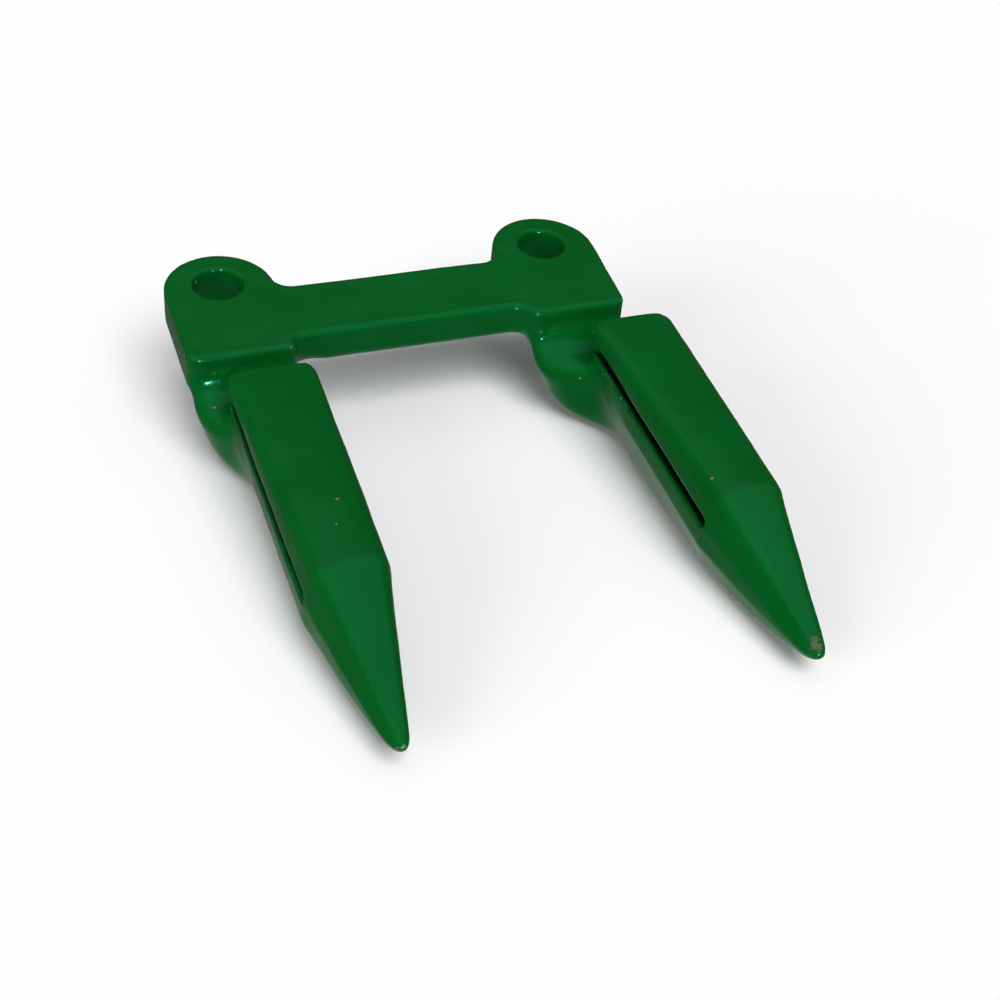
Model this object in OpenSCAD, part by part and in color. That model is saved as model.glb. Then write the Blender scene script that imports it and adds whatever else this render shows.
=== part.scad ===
// Forged double knife guard for a mower or header cutter bar.
// One forging: two thick tongues with a bolt hole each, a thinner bar between them, and a
// pointed finger in front of each tongue that carries a slot for the knife.
// Millimetres, +Z up, fingers point to -Y.
// Origin: middle of the two bolt holes, on the top face.

/* [Show] */
// which node to draw

/* [Bolt plate] */
// distance between the two bolt holes
hole_pitch = 71.2; // [60:0.1:80]
// bolt hole diameter, clear for a 3/8 inch bolt
hole_d = 10.0; // [8:0.1:13]
// worn edge on each hole rim
hole_rim = 0.35; // [0.1:0.05:1.5]
// thickness of the bar between the tongues
bar_t = 7.4; // [5:0.1:9]
// thickness of the tongues round the bolt holes
tongue_t = 8.8; // [8:0.1:12]
// radius of the round lug behind each hole
lug_r = 11.25; // [8:0.05:14]
// lug centre sits this far outside its hole
lug_out = 0.1; // [0:0.05:2]
// both lugs sit this far to the right of their holes
lug_shift = 0.25; // [0:0.05:1]
// lug centre sits this far in front of its hole
lug_fwd = 0.85; // [0:0.05:3]
// rear edge of the bar, in front of the hole line
bar_rear = 3.2; // [1:0.05:8]
// front edge of the bar, in front of the hole line
bar_front = 20.0; // [14:0.1:22]
// round hollow between lug and bar
lug_hollow_r = 4.0; // [2:0.1:8]
// outer side of the left tongue, from the middle of the plate
pad_out_l = 46.7; // [42:0.1:50]
// outer side of the right tongue, from the middle of the plate
pad_out_r = 46.3; // [42:0.1:50]
// inner side of each tongue, from the middle of the plate
pad_in = 24.9; // [20:0.1:30]
// front face of the tongues
pad_front = 23.2; // [21.5:0.1:27]
// hollow between the bar and the left tongue
step_hollow_r = 1.4; // [0.5:0.1:1.8]
// hollow between the bar and the right tongue
root_hollow_r = 4.2; // [3:0.1:8]
// outer front corners of the tongues
corner_r = 2.1; // [1:0.1:5]
// inner front corners of the tongues
pad_corner_r = 1.4; // [0.9:0.1:1.6]
// forged round on the plate's edges
edge_r = 0.9; // [0.3:0.1:1.3]

/* [Fingers] */
// finger pitch, set by three inch knife sections
finger_pitch = 76.2; // [70:0.1:80]
// middle of the two fingers, to the right of the middle of the holes
finger_shift = 5.39; // [0:0.01:10]
// tip of the nose, in front of the hole line
tip_y = 119.3; // [110:0.1:130]
// tip of the nose, below the plate top
tip_z = 6.2; // [4:0.1:8]
// rear end of the lip
lip_rear = 28.6; // [27.5:0.1:31]
// front end of the knife slot
slot_front = 86.2; // [78:0.1:95]
// rear end of the ledger
ledger_rear = 32.1; // [31:0.1:36]
// ledger top, below the plate top
ledger_z = 4.95; // [4:0.05:6]
// underside of the lip, below the plate top
lip_z = 2.95; // [1:0.05:3.5]
// half width of the finger behind, at the lip's rear
lip_half = 8.75; // [7:0.05:11]
// half width of the finger at the front of the slot
slot_half = 8.15; // [6:0.05:10]
// height of the lip's crown at its rear
lip_rear_h = 1.1; // [0.5:0.1:3]
// height of the lip's crown at the front of the slot
lip_front_h = 4.0; // [2:0.1:6]
// lower edge of the finger's straight side, below the plate top
shelf_z = 8.1; // [7:0.1:10]
// round step under that edge
shelf_drop = 0.6; // [0.2:0.1:1.5]
// deepest underside, below the plate top
keel_z = 21.6; // [18:0.1:26]
// underside at the front of the slot, below the plate top
slot_keel_z = 16.5; // [12:0.1:20]
// half width of the foot under the lip
foot_half = 4.7; // [3:0.1:6]
// half width of the foot at the front of the slot
slot_foot_half = 5.1; // [3:0.1:6]
// lean of the finger to the right at the lip's rear
lean_rear = 0.5; // [-1:0.1:1]
// lean of the finger to the left at the tip
lean_tip = 0.5; // [-1:0.1:1]
// lean of the left nose's right side, as a share of its half width
nose_cut_l = 0.2; // [0:0.01:0.3]
// lean of the right nose's right side, as a share of its half width
nose_cut_r = 0.02; // [0:0.01:0.3]

/* [Roots] */
// floor of the knife back channel, below the plate top
channel_z = 8.4; // [7.5:0.1:9]
// round at the rear of the channel
channel_r = 5.2; // [3:0.1:5.4]
// start of the root under the tongue, in front of the hole line
root_back = 8.0; // [6:0.1:10]
// deepest place of the root, in front of the hole line
root_low = 41.0; // [36:0.1:50]
// flank of a root, inside the tongue's side
root_in = 0.1; // [0.05:0.05:1]
// draft of the left root's flanks, from rim to underside
root_draft_l = 3.0; // [2:0.1:6]
// draft of the right root's flanks, from rim to underside
root_draft_r = 4.4; // [2:0.1:6]
// place where a root's rim has run into the finger
rim_end = 37.0; // [34:0.1:44]
// place where a root's foot has run into the finger
foot_end = 44.5; // [40:0.1:50]
// round of a root's rim
rim_r = 2.0; // [0.5:0.1:3]

/* [Hidden] */
// room past a cut
past = 1;
// how far one surface lies under another that it runs into
sunk = 0.05;
// bolt hole place
hole_x = hole_pitch / 2;
// left and right lug centres
lug_x = [lug_shift - hole_x - lug_out, lug_shift + hole_x + lug_out];
// rear of the channel
channel_back = pad_front - sunk;
// left and right finger middles
finger_x = [finger_shift - finger_pitch / 2, finger_shift + finger_pitch / 2];

// arc points about c from angle a to angle b
function arc(c, r, a, b, n) =
    [for (i = [0 : n]) let (t = a + (b - a) * i / n) [c[0] + r * cos(t), c[1] + r * sin(t)]];
// a list from its end to its start
function turned(q) = [for (i = [len(q) - 1 : -1 : 0]) q[i]];
// soft step from 0 to 1 as v goes from a to b
function soft(v, a, b) = let (t = max(0, min(1, (v - a) / (b - a)))) t * t * (3 - 2 * t);
// smooth curve through the points [place, value] of q
function curve(v, q) =
    let (n = len(q) - 1,
         i = max([for (k = [0 : n - 1]) q[k][0] <= v ? k : 0]),
         run = q[i + 1][0] - q[i][0], rise = q[i + 1][1] - q[i][1],
         t = max(0, min(1, (v - q[i][0]) / run)),
         a = i > 0 ? (q[i + 1][1] - q[i - 1][1]) / (q[i + 1][0] - q[i - 1][0]) * run : rise,
         b = i < n - 1 ? (q[i + 2][1] - q[i][1]) / (q[i + 2][0] - q[i][0]) * run : rise)
    q[i][1] + t * a + t * t * (3 * rise - 2 * a - b) + t * t * t * (a + b - 2 * rise);

// place of the hollow between lug and bar, and its angle from the lug
hollow_y = -bar_rear + lug_hollow_r;
hollow_dx = sqrt(pow(lug_r + lug_hollow_r, 2) - pow(hollow_y + lug_fwd, 2));
hollow_a = atan2(hollow_y + lug_fwd, hollow_dx);
// the right tongue's hollow runs straight into its round corner: angle where they meet, and run
sweep_a = acos(1 - (pad_front - bar_front) / (root_hollow_r + pad_corner_r));
sweep_x = (root_hollow_r + pad_corner_r) * sin(sweep_a);
// small turn that keeps the ends of two arcs apart where they meet
apart = 1;

// plan of the plate, drawn in by d: round corners shrink and hollows grow
function plan(d) = concat(
    arc([corner_r - pad_out_l, corner_r - pad_front], corner_r - d, 180, 270, 6),
    arc([-pad_in - pad_corner_r, pad_corner_r - pad_front], pad_corner_r - d, -90, 0, 4),
    arc([step_hollow_r - pad_in, -bar_front - step_hollow_r], step_hollow_r + d, 180, 90, 5),
    arc([pad_in + pad_corner_r - sweep_x, -bar_front - root_hollow_r], root_hollow_r + d, 90, 90 - sweep_a, 8),
    arc([pad_in + pad_corner_r, pad_corner_r - pad_front], pad_corner_r - d, 270 + apart - sweep_a, 270, 4),
    arc([pad_out_r - corner_r, corner_r - pad_front], corner_r - d, -90, 0, 6),
    arc([lug_x[1], -lug_fwd], lug_r - d, 0, 180 - hollow_a, 24),
    arc([lug_x[1] - hollow_dx, hollow_y], lug_hollow_r + d, -hollow_a - apart, -90, 7),
    arc([lug_x[0] + hollow_dx, hollow_y], lug_hollow_r + d, -90, hollow_a + apart - 180, 7),
    arc([lug_x[0], -lug_fwd], lug_r - d, hollow_a, 180 - apart, 24));

// plan of a right tongue with its lug at x and its outer side at out, drawn in by d
function tongue_plan(x, out, d) = concat(
    arc([pad_in + pad_corner_r, pad_corner_r - pad_front], pad_corner_r - d, 180, 270, 4),
    arc([out - corner_r, corner_r - pad_front], corner_r - d, -90, 0, 6),
    arc([x, -lug_fwd], lug_r - d, 0, 180 - apart, 28));

// skin over a stack of rings that all have the same number of points
module skin(rings) {
    n = len(rings[0]);
    m = len(rings);
    side = [for (k = [0 : m - 2], i = [0 : n - 1], h = [0, 1])
        let (j = (i + 1) % n, a = k * n + i, b = k * n + j, c = (k + 1) * n + j, e = (k + 1) * n + i)
        h == 0 ? [a, c, b] : [a, e, c]];
    polyhedron(points = [for (r = rings) each r], convexity = 10,
        faces = concat(side, [[for (i = [0 : n - 1]) i], [for (i = [n - 1 : -1 : 0]) (m - 1) * n + i]]));
}

// round edge as steps of [drawn in, along]
edge_s = edge_r * (1 - sqrt(0.5));
edge_round = [[edge_r, 0], [edge_s, edge_s], [0, edge_r]];

// the bar, and the upper part of both tongues
module plate_blank() {
    rings = concat([for (q = edge_round) [q[0], q[1] - bar_t]], [for (q = turned(edge_round)) [q[0], -q[1]]]);
    skin([for (q = rings) [for (p = plan(q[0])) [p[0], p[1], q[1]]]]);
}

// lower part of a right tongue with its lug at x and its outer side at out
module tongue_blank(x, out) {
    rings = concat([for (q = edge_round) [q[0], q[1] - tongue_t]], [[0, -bar_t / 2]]);
    skin([for (q = rings) [for (p = tongue_plan(x, out, q[0] + sunk)) [p[0], p[1], q[1]]]]);
}

// share of the lip's length, and of the nose's length, at a distance s in front of the hole line
function lip_share(s) = (s - lip_rear) / (slot_front - lip_rear);
function nose_share(s) = (s - slot_front) / (tip_y - slot_front);

// sizes of the finger along its length; on the nose each falls off to the tip by its own curve
// round rear corner of the lip, as a share of its half width
function corner_at(s) = curve(s - lip_rear, [[0, 0.8], [0.9, 0.915], [2.2, 0.98], [4, 1], [5, 1]]);
// half width at the knife slot
function half_at(s) = s < slot_front
    ? curve(lip_share(s), [[0, lip_half], [0.29, lip_half - 0.4 * (lip_half - slot_half)],
        [0.55, slot_half + 0.33 * (lip_half - slot_half)], [1, slot_half]])
    : slot_half * curve(nose_share(s), [[0, 1], [0.175, 0.86], [0.387, 0.71], [0.568, 0.57], [0.764, 0.42],
        [0.885, 0.31], [0.949, 0.23], [0.982, 0.15], [1, 0.06]]);
// share of that half width at the upper edge of the side
function brow_at(s) = s < slot_front
    ? curve(lip_share(s), [[0, 1], [0.55, 0.97], [1, 0.91]])
    : curve(nose_share(s), [[0, 0.91], [0.12, 0.89], [0.48, 0.84], [0.78, 0.78], [1, 0.76]]);
// height of that edge
function edge_at(s) = s < slot_front
    ? lookup(s, [[pad_front, -2.8], [lip_rear - 2, -0.4], [lip_rear, 0], [slot_front, -0.06 * tip_z]])
    : -tip_z * curve(nose_share(s), [[0, 0.06], [0.12, 0.23], [0.33, 0.42], [0.48, 0.53], [0.63, 0.66],
        [0.78, 0.79], [0.89, 0.87], [1, 0.97]]);
// top of the lip and the nose
function top_at(s) = s < lip_rear
    ? lookup(s, [[pad_front, -1.8], [lip_rear - 2, 0.4], [lip_rear, lip_rear_h]])
    : s < slot_front
    ? lip_rear_h + (lip_front_h - lip_rear_h) * curve(lip_share(s), [[0, 0], [0.56, 0.62], [0.96, 1], [1, 0.99]])
    : lip_front_h - (lip_front_h + tip_z) * curve(nose_share(s), [[0, 0.003], [0.085, 0.088], [0.33, 0.304],
        [0.48, 0.45], [0.63, 0.578], [0.78, 0.69], [0.885, 0.775], [0.949, 0.853], [0.982, 0.912], [1, 0.96]]);
// floor of the channel behind the ledger
function channel_at(s) = s < channel_back ? channel_r - channel_z
    : channel_r - channel_z - sqrt(max(0, pow(channel_r, 2) - pow(min(0, s - channel_back - channel_r), 2)));
// lower edge of the straight side: at the channel's floor, then along the finger
function shelf_at(s) = s < rim_end ? channel_at(s) - sunk : s < slot_front
    ? -lookup(s, [[rim_end, channel_z + sunk], [60, shelf_z], [slot_front, shelf_z]])
    : -shelf_z + (shelf_z - tip_z) * curve(nose_share(s), [[0, 0], [0.42, 0.1], [0.72, 0.47], [0.885, 0.74], [1, 1]]);
// underside: from inside the tongue down to the keel, then up to the tip
function base_at(s) = s < root_low
    ? -keel_z * curve((s - root_back) / (root_low - root_back), [[0, 0.25], [0.045, 0.32], [0.12, 0.51], [0.21, 0.7],
        [0.3, 0.83], [0.42, 0.917], [0.61, 0.963], [1, 1]])
    : s < slot_front
    ? -keel_z + (keel_z - slot_keel_z) * curve((s - root_low) / (slot_front - root_low), [[0, 0], [0.4, 0.12],
        [0.75, 0.65], [1, 1]])
    : -slot_keel_z + (slot_keel_z - tip_z) * curve(nose_share(s), [[0, 0], [0.236, 0.155], [0.508, 0.35],
        [0.719, 0.553], [0.885, 0.738], [0.949, 0.825], [0.982, 0.893], [1, 0.96]]);
// half width of the foot at the underside
function foot_at(s) = s < slot_front
    ? curve(lip_share(s), [[0, foot_half], [0.5, foot_half], [0.8, slot_foot_half], [1, slot_foot_half]])
    : slot_foot_half * curve(nose_share(s), [[0, 1], [0.27, 0.9], [0.51, 0.745], [0.72, 0.55], [0.885, 0.353],
        [0.949, 0.235], [0.982, 0.147], [1, 0.06]]);
// lean of the finger off its straight line
function lean_at(s) = curve(s, [[pad_front + 1.4, 0], [lip_rear, lean_rear], [60, 0.4 * lean_rear],
    [slot_front, -0.2 * lean_tip], [tip_y, -lean_tip]]);

// crown of the lip and the nose: share of the half width, share of the rise
crown = [[1, 0], [0.975, 0.3], [0.91, 0.58], [0.82, 0.79], [0.7, 0.9], [0.45, 0.97], [0.15, 1]];

// one side of a cross-section, from the underside up: root side x, foot f, half width w and u of
// ledger and lip, round of the foot c, heights of underside, rim, shelf and upper edge
function flank(x, f, w, u, c, zb, zk, zs, ze) =
    let (up = 0.22 * (zk - zb), inner = 0.22 * (x - f), e = max(0, x - w), h = ze - zs,
         r = min(rim_r, 0.5 * e) + 0.2)
    [[f - 1.5 * c, zb - 0.25 * min(1, c)], [f - c, zb], [f - 0.3 * c, zb + 0.3 * up], [f + inner, zb + up],
     [(f + x) / 2, (zb + zk) / 2], [x - 0.1 * inner, zk - 0.1 * up - r], [x - 0.1 * r, zk - 0.5 * r],
     [x - 0.4 * r, zk], [x - min(r, 0.6 * e), zs], [w + 0.2 * e, zs + 0.03 * h],
     [w, zs + 0.12 * h], [w, zs + 0.35 * h], [u, zs + 0.55 * h]];

// one cross-section, from the right foot over the crown to the left foot;
// rl and rr are the root's sides from the finger's middle, cut is the lean of the nose's right side
function section(s, rl, rr, draft, cut) =
    let (w = half_at(s), zt = top_at(s), ze = edge_at(s), zs = shelf_at(s), zb = base_at(s), f = foot_at(s),
         kl = 1 - soft(s, 28, rim_end), kf = 1 - soft(s, 29.5, foot_end), kr = 1 - soft(s, pad_front, 31),
         k = 1 - cut * soft(s, slot_front - 4, slot_front + 10),
         xl = w + 0.04 + kl * (-rl - w), xr = k * (w + 0.04 + kr * (rr - w)),
         fl = f + kf * (-rl - draft - f), fr = k * (f + kr * (rr - draft - f)),
         zk = zs - shelf_drop * (s < slot_front ? 1 : 1 - 0.7 * nose_share(s)),
         wl = min(w, xl), wr = min(k * w, xr), ul = wl * corner_at(s), ur = wr * corner_at(s),
         c = min(1.8, 0.3 * (fr + fl)), b = brow_at(s), d = lean_at(s))
    [for (p = concat(
        flank(xr, fr, wr, ur, c, zb, zk, zs, ze),
        [for (q = crown) [b * ur / k * q[0], ze + q[1] * (zt - ze)]],
        [for (q = turned(crown)) [-b * ul * q[0], ze + q[1] * (zt - ze)]],
        [for (q = turned(flank(xl, fl, wl, ul, c, zb, zk, zs, ze))) [-q[0], q[1]]])) [p[0] + d, p[1]]];

// places of the cross-sections: through the tongue, over the root, along the lip, down the nose
stops = concat(
    [for (t = [0, 0.1, 0.27, 0.46, 0.66, 0.83]) root_back + t * (channel_back - root_back)],
    [for (a = [0 : 15 : 75]) channel_back + channel_r * (1 - cos(a))],
    [for (d = [0.05, 0.75, 2.3, 3.3]) lip_rear + d],
    [for (i = [1 : 7]) lip_rear + 3.3 + i * (foot_end - lip_rear - 3.3) / 7],
    [for (i = [1 : 6]) foot_end + i * (slot_front - 1.6 - foot_end) / 6],
    [for (i = [0 : 15]) slot_front + (tip_y - slot_front) * (1 - pow(1 - i / 15, 1.5))]);

// one finger with its root
module finger_blank(x, rl, rr, draft, cut) {
    skin([for (s = stops) [for (p = section(s, rl, rr, draft, cut)) [x + p[0], -s, p[1]]]]);
}

// what the knife and its back need: channel behind the ledger, and slot under the lip
module knife_clear() {
    back = channel_back + 0.6 * sunk;
    high = lip_front_h + past;
    rotate([90, 0, 90])
        linear_extrude(2 * finger_pitch, center = true)
            polygon(concat(
                [[-back, high]],
                arc([-back - channel_r, channel_r - channel_z], channel_r, 0, -90, 9),
                [[1.4 - ledger_rear, -channel_z], [0.55 - ledger_rear, 0.4 - channel_z],
                 [0.1 - ledger_rear, 1.3 - channel_z], [-ledger_rear, -ledger_z - 0.5],
                 [-ledger_rear - 0.2, -ledger_z - 0.12], [-ledger_rear - 0.7, -ledger_z]],
                arc([1.2 - slot_front, -(ledger_z + lip_z) / 2], (ledger_z - lip_z) / 2, 270, 90, 6),
                [[-lip_rear - 0.6, -lip_z], [-lip_rear - 0.15, 0.25 - lip_z], [-lip_rear, 0.7 - lip_z],
                 [-lip_rear - 0.1, -0.6], [-lip_rear - 0.35, 0.25], [-lip_rear - 0.9, 0.9],
                 [-lip_rear - 1.8, high]]));
}

module bolt_holes() {
    for (sx = [-1, 1]) translate([sx * hole_x, 0, 0]) {
        translate([0, 0, -tongue_t - past]) cylinder(d = hole_d, h = tongue_t + 2 * past, $fn = 64);
        translate([0, 0, -hole_rim]) cylinder(d1 = hole_d, d2 = hole_d + 4 * hole_rim, h = 2 * hole_rim, $fn = 64);
        translate([0, 0, -tongue_t - hole_rim])
            cylinder(d1 = hole_d + 4 * hole_rim, d2 = hole_d, h = 2 * hole_rim, $fn = 64);
    }
}

// the whole forging as one skin, before drilling
module forging() {
    resize([0, 0, 0]) union() {
        plate_blank();
        tongue_blank(lug_x[1], pad_out_r);
        mirror([1, 0, 0]) tongue_blank(-lug_x[0], pad_out_l);
        difference() {
            union() {
                finger_blank(finger_x[0], root_in - pad_out_l - finger_x[0], -pad_in - root_in - finger_x[0],
                    root_draft_l, nose_cut_l);
                finger_blank(finger_x[1], pad_in + root_in - finger_x[1], pad_out_r - root_in - finger_x[1],
                    root_draft_r, nose_cut_r);
            }
            knife_clear();
        }
    }
}

module knife_guard() {
    color([0.02, 0.27, 0.09])
    difference() {
        forging();
        bolt_holes();
    }
}

knife_guard();
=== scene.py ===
"""A forged, green painted knife guard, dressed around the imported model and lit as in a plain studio."""

import math

import bpy
import numpy as np
from mathutils import Matrix, Quaternion, Vector, noise
from mathutils.bvhtree import BVHTree

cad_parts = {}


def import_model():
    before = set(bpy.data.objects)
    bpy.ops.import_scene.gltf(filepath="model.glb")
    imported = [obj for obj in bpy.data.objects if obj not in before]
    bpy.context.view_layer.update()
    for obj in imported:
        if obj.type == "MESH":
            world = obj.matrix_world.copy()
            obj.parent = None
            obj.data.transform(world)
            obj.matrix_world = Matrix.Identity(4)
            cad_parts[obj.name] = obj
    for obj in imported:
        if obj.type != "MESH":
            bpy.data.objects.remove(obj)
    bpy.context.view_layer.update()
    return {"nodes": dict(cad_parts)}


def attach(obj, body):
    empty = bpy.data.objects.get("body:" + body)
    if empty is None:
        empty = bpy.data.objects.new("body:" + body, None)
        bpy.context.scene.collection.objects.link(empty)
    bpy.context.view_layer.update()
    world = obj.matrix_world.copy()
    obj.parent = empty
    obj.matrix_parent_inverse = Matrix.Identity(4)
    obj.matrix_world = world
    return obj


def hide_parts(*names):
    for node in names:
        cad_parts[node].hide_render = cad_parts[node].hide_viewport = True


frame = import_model()

# the record's node, and a millimetre in metres
NODE = "knife_guard"
MM = 0.001

# camera, found from the bolt holes, the plate and both fingers
CAMERA_PLACE = Vector((-95.82, -271.66, 203.89)) * MM
CAMERA_AIM = Vector((-1.08, -74.32, 0.0)) * MM
CAMERA_ROLL = math.radians(-8.231)
CAMERA_LENS = 59.485
SENSOR = 36.0
CLIP_START = 10.0 * MM

# floor: y and z under the roots, which it touches, and under the tips, which stay just clear of it
FLOOR_ROOT = (-41.0 * MM, -21.85 * MM)
FLOOR_TIP = (-117.4 * MM, -12.5 * MM)
FLOOR_REACH = 10.0
FLOOR_WHITE = (0.97, 0.97, 0.97, 1)

# lamps: place in metres, strength, and the angle of a sun or the side of a square
LAMP_AIM = Vector((0, -0.06, 0))
KEY = ((0.1, -1.2, 1.9), 2.4, math.radians(38))
FILL = ((-1.6, -0.6, 0.7), 1.35, math.radians(36))
SPARK = ((-0.05, -0.8, 0.2), 3.5, 0.04)

# the room that the paint mirrors: place from straight down (0) to straight up (1), and its light
ROOM = ((0.04, 0.60), (0.19, 0.10), (0.4, 0.05), (0.79, 0.05), (0.84, 0.28), (0.996, 0.54), (1.0, 1.0))

# forged skin: mesh size, smoothing steps (the first list keeps the size), and slight waves (width, height)
VOXEL = 0.52 * MM
SMOOTHING = (0.5, -0.53) * 9
CREASE_SMOOTHING = (0.5,) * 12
ROOT_SMOOTHING = (0.5,) * 45
CORNER_SMOOTHING = (0.5,) * 24
WAVES = ((14.0 * MM, 0.09 * MM), (4.5 * MM, 0.05 * MM))
DROP_HEIGHT = 0.35 * MM

# how far a place stands below or above its neighbours, in mesh sizes, to count as a crease or a ridge
CREASE = (0.02, 0.10)
RIDGE = (0.04, 0.14)

# the roots' soft hollows, in mm ahead of the bolt holes and in height; each pair is a soft step
ROOT_REAR = (20.5, 23.5)
ROOT_FRONT = (52.0, 44.0)
SHELF_END = 30.5
SHELF_TOP = -3.4
LEDGER_TOP = -6.8
HOLLOW_STEP = 1.2

# the knife slots, in the same way, with the edges' distance above or below their middle
KNIFE_LEVEL = -3.95
KNIFE_REAR = (27.0, 29.0)
KNIFE_FRONT = (90.0, 87.0)
KNIFE_EDGE = (2.2, 1.4)

# share of the smoothing that the knife slots miss, and the weight above which a place is outside them
CRISPNESS = 0.4
OUTSIDE_WEIGHT = 0.95

# painted shade on the walls of the knife slots: distance from their middle in mm, and how near the wall
# across is
WALL_REACH = 2.0
WALL_ACROSS = 2.6 * MM
RAY_START = 0.1 * MM

# front corners of the tongues: x, y and reach in mm, and the soft step below the top face
CORNERS = ((-23.0, -21.0, 5.0), (49.0, -22.0, 5.0))
CORNER_TOP = (-0.6, -1.8)

# small marks in the paint: place in mm, radius in mm
DROPS = (
    (-43.6, -23.2, -3.8, 0.8), (-41.6, -23.3, -4.1, 0.6), (-39.8, -23.3, -4.4, 0.7),
    (-38.8, -23.2, -3.7, 0.6), (24.4, -21.4, -5.0, 0.9), (26.9, -23.2, -2.0, 0.7),
    (27.1, -23.2, -3.6, 0.8), (27.2, -23.6, -5.2, 0.7), (-34.2, 5.2, 0.0, 0.7),
)
RUST = (
    (-43.1, -28.0, -8.4, 0.9), (-42.8, -31.7, -8.7, 1.0), (-30.5, -70.5, 3.3, 0.7),
    (-38.4, -67.2, 2.7, 0.7), (-32.7, -76.8, 3.7, 0.6), (32.8, -34.0, -10.4, 1.0),
    (37.8, -81.3, 3.3, 0.8), (-39.4, 3.2, -1.4, 1.1),
)
BARE = (
    (42.7, -116.7, -4.3, 1.1), (42.2, -117.9, -4.9, 1.3), (43.2, -118.0, -4.9, 1.0),
    (-33.8, -118.6, -6.4, 1.0),
)

# paint: linear colours, gloss, noises per metre, and the range over which each mark sets in
DARK_GREEN = (0.0006, 0.071, 0.0045, 1)
LIGHT_GREEN = (0.001, 0.104, 0.0155, 1)
# lighter green on the edges: partly worn paint, partly a painted edge highlight
WORN_AND_HIGHLIT_GREEN = (0.055, 0.20, 0.11, 1)
RUST_BROWN = (0.27, 0.17, 0.04, 1)
BARE_STEEL = (0.095, 0.09, 0.063, 1)
# painted shade: near-black colour inside the knife slots, where shade falls
SLOT_PAINTED_SHADE = (0.002, 0.004, 0.003, 1)
SHEEN = (0.2, 0.9, 0.75, 1)
SHEEN_LEVEL = 0.42
GLOSSY, MATT = 0.17, 0.6
CLOUDS = {"Scale": 55.0, "Detail": 5.0}
GRAIN = {"Scale": 1400.0, "Detail": 3.0}
PEEL = {"Scale": 650.0, "Detail": 2.0}
PEEL_BUMP = {"Strength": 0.07, "Distance": 0.2 * MM}
MARK_SHARE = 0.5
# range over which the worn edges and their painted highlight set in
WORN_AND_HIGHLIGHT_SETS_IN = (0.94, 1.06)
RUST_SETS_IN = (0.93, 1.02)
BARE_SETS_IN = (0.74, 1.06)


def collect(obj):
    """Link a new object to the scene."""
    bpy.context.scene.collection.objects.link(obj)
    return obj


def rows(items, name, width, kind=float):
    """One value of all the items of a mesh, a row for each item."""
    values = np.empty(len(items) * width, kind)
    items.foreach_get(name, values)
    return values.reshape(-1, width)


def ramp(value, start, end):
    """Soft step from 0 at the start to 1 at the end, which may be the lower of the two."""
    t = np.clip((value - start) / (end - start), 0, 1)
    return t * t * (3 - 2 * t)


def relaxed(places, edges, factors, weight):
    """Move every place towards the mean of its neighbours, or away from it for a negative factor."""
    count = len(places)
    first, second = edges[:, 0], edges[:, 1]
    degree = np.bincount(edges.ravel(), minlength=count)[:, None]
    for factor in factors:
        sums = [np.bincount(first, places[second, k], count) + np.bincount(second, places[first, k], count)
                for k in range(3)]
        places = places + factor * weight[:, None] * (np.stack(sums, axis=1) / degree - places)
    return places


def blurred(values, edges, steps):
    """Even out one value per place."""
    return relaxed(np.stack([values] * 3, axis=1), edges, (0.5,) * steps, np.ones(len(values)))[:, 0]


def along(places):
    """How far each place is ahead of the bolt holes, and its height, in mm."""
    return -places[:, 1] / MM, places[:, 2] / MM


def root_weight(places):
    """Where the roots run into the tongues and the fingers in soft hollows."""
    ahead, height = along(places)
    top = np.where(ahead < SHELF_END, SHELF_TOP, LEDGER_TOP)
    return ramp(ahead, *ROOT_REAR) * ramp(ahead, *ROOT_FRONT) * ramp(height, top, top - HOLLOW_STEP)


def slot_weight(places):
    """Weight of the smoothing, which is less in the knife slots, so that their edges stay crisp."""
    ahead, height = along(places)
    beside = ramp(abs(height - KNIFE_LEVEL), *KNIFE_EDGE)
    return 1 - CRISPNESS * ramp(ahead, *KNIFE_REAR) * ramp(ahead, *KNIFE_FRONT) * beside


def corner_weight(places):
    """Where the tongues' front corners run into the bar and the channel in round steps."""
    near = np.zeros(len(places))
    for x, y, reach in CORNERS:
        away = np.hypot(places[:, 0] / MM - x, places[:, 1] / MM - y)
        near = np.maximum(near, ramp(away, reach, 0.5 * reach))
    return near * ramp(places[:, 2] / MM, *CORNER_TOP)


def ridges(places, edges, outward):
    """How much each place stands above its neighbours; creases are below zero."""
    hump = places - relaxed(places, edges, (1.0,), np.ones(len(places)))
    return blurred(np.einsum("ij,ij->i", hump, outward) / VOXEL, edges, 3)


def depths(skin, places, outward):
    """Which places are shut in by a wall across from them, as the walls of the knife slots are."""
    tree = BVHTree.FromPolygons(places.tolist(), [face.vertices for face in skin.polygons])
    ahead, height = along(places)
    near = (abs(height - KNIFE_LEVEL) < WALL_REACH) & (ahead > KNIFE_REAR[0])
    shut = np.zeros(len(places))
    for k in np.flatnonzero(near):
        way = Vector(outward[k])
        shut[k] = tree.ray_cast(Vector(places[k]) + RAY_START * way, way, WALL_ACROSS)[0] is not None
    return shut


def spots(places, marks):
    """How much each place belongs to one of the marks."""
    near = np.zeros(len(places))
    for x, y, z, radius in marks:
        away = np.linalg.norm(places / MM - (x, y, z), axis=1) / radius
        near = np.maximum(near, np.exp(-away * away))
    return near


def even_mesh():
    """The CAD solid as a mesh of even squares."""
    rough = collect(bpy.data.objects.new("rough_skin", frame["nodes"][NODE].data.copy()))
    remesh = rough.modifiers.new("even_mesh", "REMESH")
    remesh.mode = "VOXEL"
    remesh.voxel_size = VOXEL
    skin = bpy.data.meshes.new_from_object(rough.evaluated_get(bpy.context.evaluated_depsgraph_get()))
    bpy.data.objects.remove(rough)
    return skin


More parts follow.
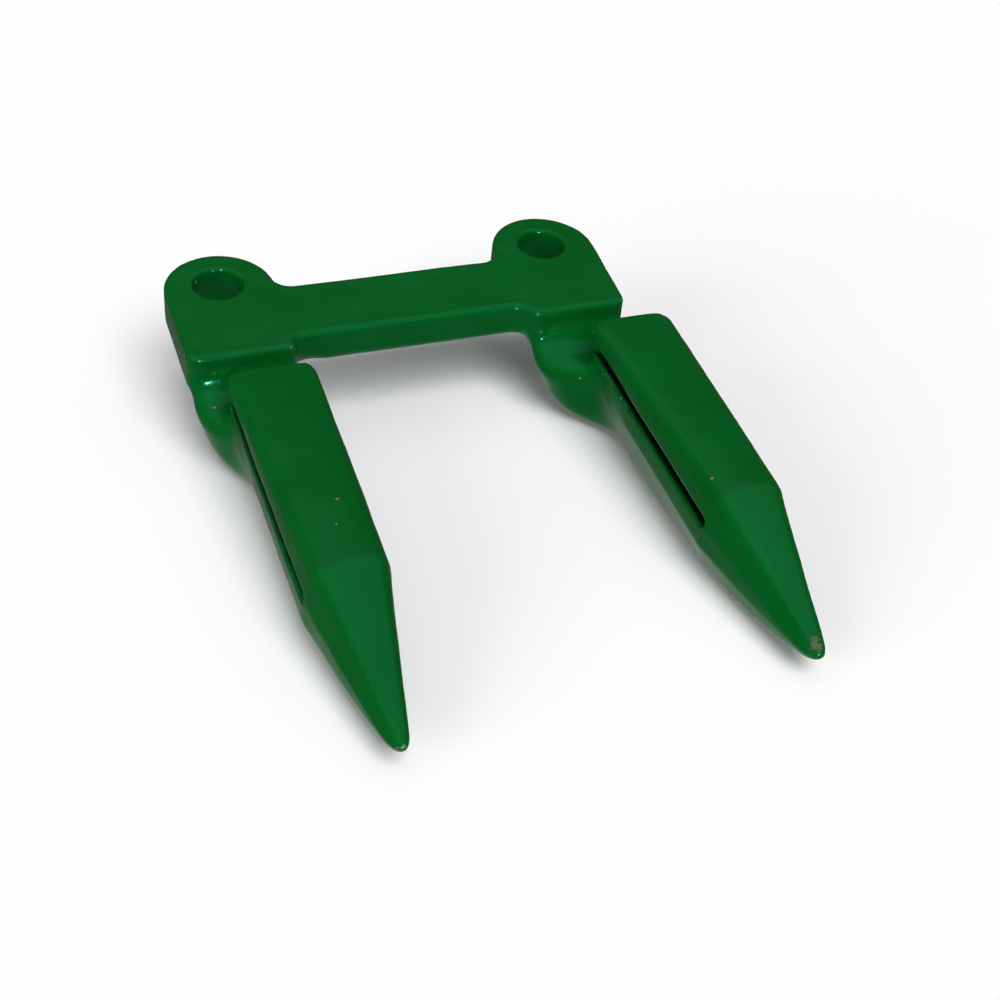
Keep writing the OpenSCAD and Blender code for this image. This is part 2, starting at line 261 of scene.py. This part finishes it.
def forged_skin():
    """The forging's skin: the CAD solid with the soft edges and slight unevenness of a die forging."""
    skin = even_mesh()
    places = rows(skin.vertices, "co", 3)
    edges = rows(skin.edges, "vertices", 2, int)
    crease = ramp(-ridges(places, edges, rows(skin.vertex_normals, "vector", 3)), *CREASE)
    places = relaxed(places, edges, SMOOTHING, slot_weight(places))
    places = relaxed(places, edges, CREASE_SMOOTHING, crease * (slot_weight(places) > OUTSIDE_WEIGHT))
    places = relaxed(places, edges, ROOT_SMOOTHING, root_weight(places))
    places = relaxed(places, edges, CORNER_SMOOTHING, corner_weight(places))
    skin.vertices.foreach_set("co", places.ravel())
    skin.update()

    outward = rows(skin.vertex_normals, "vector", 3)
    marks = {
        "rust": spots(places, RUST),
        "bare": spots(places, BARE),
        "ridge": ramp(ridges(places, edges, outward), *RIDGE),
        # painted shade on the slot walls that a wall across shuts in
        "slot_shade": blurred(depths(skin, places, outward), edges, 2),
    }
    for name, values in marks.items():
        skin.attributes.new(name, "FLOAT", "POINT").data.foreach_set("value", values)
    height = DROP_HEIGHT * spots(places, DROPS)
    for size, depth in WAVES:
        height = height + depth * np.array([noise.noise(Vector(place) / size) for place in places])
    skin.vertices.foreach_set("co", (places + outward * height[:, None]).ravel())
    skin.materials.clear()
    skin.shade_smooth()
    return collect(bpy.data.objects.new("forged_body", skin))


class Nodes:
    """Short way to make and join shader nodes."""

    def __init__(self, tree):
        self.tree = tree
        tree.nodes.clear()

    def add(self, kind, values=None, links=None, **settings):
        """A node with its settings, its set inputs and its joined inputs."""
        node = self.tree.nodes.new(kind)
        for name, value in settings.items():
            setattr(node, name, value)
        for name, value in (values or {}).items():
            node.inputs[name].default_value = value
        for name, socket in (links or {}).items():
            self.tree.links.new(socket, node.inputs[name])
        return node

    def noise(self, values, place):
        """A noise in the object's space."""
        return self.add("ShaderNodeTexNoise", values, {"Vector": place}).outputs["Fac"]

    def attribute(self, name):
        """A value that the mesh carries."""
        return self.add("ShaderNodeAttribute", attribute_name=name).outputs["Fac"]

    def mask(self, attribute, grain, sets_in):
        """A mark's mask with a broken edge, from an attribute of the mesh and a noise."""
        links = {0: self.attribute(attribute), 2: grain}
        broken = self.add("ShaderNodeMath", {1: MARK_SHARE}, links, operation="MULTIPLY_ADD").outputs[0]
        ends = dict(zip(("From Min", "From Max"), sets_in))
        step = self.add("ShaderNodeMapRange", ends, {"Value": broken}, interpolation_type="SMOOTHSTEP")
        return step.outputs[0]

    def over(self, tone, mask, colour):
        """One colour laid over another where the mask is."""
        mix = self.add("ShaderNodeMixRGB", {"Color2": colour}, {"Fac": mask, "Color1": tone})
        return mix.outputs["Color"]


def new_material(name):
    """An empty material and its nodes."""
    material = bpy.data.materials.new(name)
    material.use_nodes = True
    return material, Nodes(material.node_tree)


def green_paint():
    """Gloss enamel over forged steel, with worn edges that are partly a painted highlight, specks of rust,
    bare metal at the tips, and painted shade in the knife slots.
    """
    material, n = new_material("green_enamel")
    place = n.add("ShaderNodeTexCoord").outputs["Object"]
    grain = n.noise(GRAIN, place)
    rust = n.mask("rust", grain, RUST_SETS_IN)
    greens = {"Color1": DARK_GREEN, "Color2": LIGHT_GREEN}
    tone = n.add("ShaderNodeMixRGB", greens, {"Fac": n.noise(CLOUDS, place)}).outputs["Color"]
    # worn paint on the ridges, partly a painted highlight: lighter green where the surface stands out
    tone = n.over(tone, n.mask("ridge", grain, WORN_AND_HIGHLIGHT_SETS_IN), WORN_AND_HIGHLIT_GREEN)
    tone = n.over(tone, rust, RUST_BROWN)
    tone = n.over(tone, n.mask("bare", grain, BARE_SETS_IN), BARE_STEEL)
    # painted shade: dark colour laid over the knife slots' shut-in walls
    tone = n.over(tone, n.attribute("slot_shade"), SLOT_PAINTED_SHADE)
    gloss = n.add("ShaderNodeMapRange", {"To Min": GLOSSY, "To Max": MATT}, {"Value": rust}).outputs[0]
    bump = n.add("ShaderNodeBump", PEEL_BUMP, {"Height": n.noise(PEEL, place)}).outputs["Normal"]
    paint = n.add("ShaderNodeBsdfPrincipled", {"Specular IOR Level": SHEEN_LEVEL, "Specular Tint": SHEEN},
                  {"Base Color": tone, "Roughness": gloss, "Normal": bump})
    n.add("ShaderNodeOutputMaterial", None, {"Surface": paint.outputs["BSDF"]})
    return material


def floor_plane():
    """Pale floor that touches the roots. The paint mirrors the room instead of it."""
    (y0, z0), (y1, z1) = FLOOR_ROOT, FLOOR_TIP
    slope = math.atan((z1 - z0) / (y1 - y0))
    r = FLOOR_REACH
    mesh = bpy.data.meshes.new("floor")
    mesh.from_pydata([(-r, -r, 0), (r, -r, 0), (r, r, 0), (-r, r, 0)], [], [(0, 1, 2, 3)])
    floor = collect(bpy.data.objects.new("floor", mesh))
    floor.matrix_world = Matrix.Translation((0, y0, z0)) @ Matrix.Rotation(slope, 4, "X")
    material, n = new_material("white_floor")
    matt = n.add("ShaderNodeBsdfDiffuse", {"Color": FLOOR_WHITE})
    n.add("ShaderNodeOutputMaterial", None, {"Surface": matt.outputs["BSDF"]})
    mesh.materials.append(material)
    floor.visible_glossy = False


def camera():
    """The photograph's view."""
    data = bpy.data.cameras.new("camera")
    data.lens = CAMERA_LENS
    data.sensor_width = SENSOR
    data.clip_start = CLIP_START
    obj = collect(bpy.data.objects.new("camera", data))
    look = (CAMERA_AIM - CAMERA_PLACE).to_track_quat("-Z", "Y")
    obj.rotation_mode = "QUATERNION"
    obj.rotation_quaternion = look @ Quaternion((0, 0, 1), -CAMERA_ROLL)
    obj.location = CAMERA_PLACE
    bpy.context.scene.camera = obj


def lamp(name, kind, place, strength):
    """A lamp that looks at the guard."""
    data = bpy.data.lights.new(name, kind)
    data.energy = strength
    obj = collect(bpy.data.objects.new(name, data))
    obj.location = place
    obj.rotation_mode = "QUATERNION"
    obj.rotation_quaternion = (LAMP_AIM - Vector(place)).to_track_quat("-Z", "Y")
    return obj


def soft_sun(name, place, strength, angle):
    """A wide sun that lights the guard and isn't mirrored in its paint."""
    obj = lamp(name, "SUN", place, strength)
    obj.data.angle = angle
    obj.visible_glossy = False


def glint(name, place, strength, side):
    """A small square lamp that only glints in the paint."""
    obj = lamp(name, "AREA", place, strength)
    obj.data.size = side
    obj.visible_diffuse = False


def world():
    """A dim room: a grey table below, dark walls, and a lighter ceiling, brightest straight overhead."""
    made = bpy.data.worlds.new("studio")
    bpy.context.scene.world = made
    made.use_nodes = True
    n = Nodes(made.node_tree)
    way = n.add("ShaderNodeTexCoord").outputs["Generated"]
    up = n.add("ShaderNodeSeparateXYZ", None, {"Vector": way}).outputs["Z"]
    share = n.add("ShaderNodeMapRange", {"From Min": -1.0, "From Max": 1.0}, {"Value": up}).outputs[0]
    room = n.add("ShaderNodeValToRGB", None, {"Fac": share})
    stops = room.color_ramp.elements
    stops.remove(stops[1])
    stops[0].position = ROOM[0][0]
    for place, _ in ROOM[1:]:
        stops.new(place)
    for stop, (_, level) in zip(stops, ROOM):
        stop.color = (level, level, level, 1)
    sky = n.add("ShaderNodeBackground", None, {"Color": room.outputs["Color"]})
    n.add("ShaderNodeOutputWorld", None, {"Surface": sky.outputs[0]})


body = forged_skin()
body.data.materials.append(green_paint())
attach(body, "root")
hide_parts(NODE)

floor_plane()
camera()
soft_sun("key", *KEY)
soft_sun("fill", *FILL)
glint("spark", *SPARK)
world()
bpy.context.scene.view_settings.view_transform = "Standard"
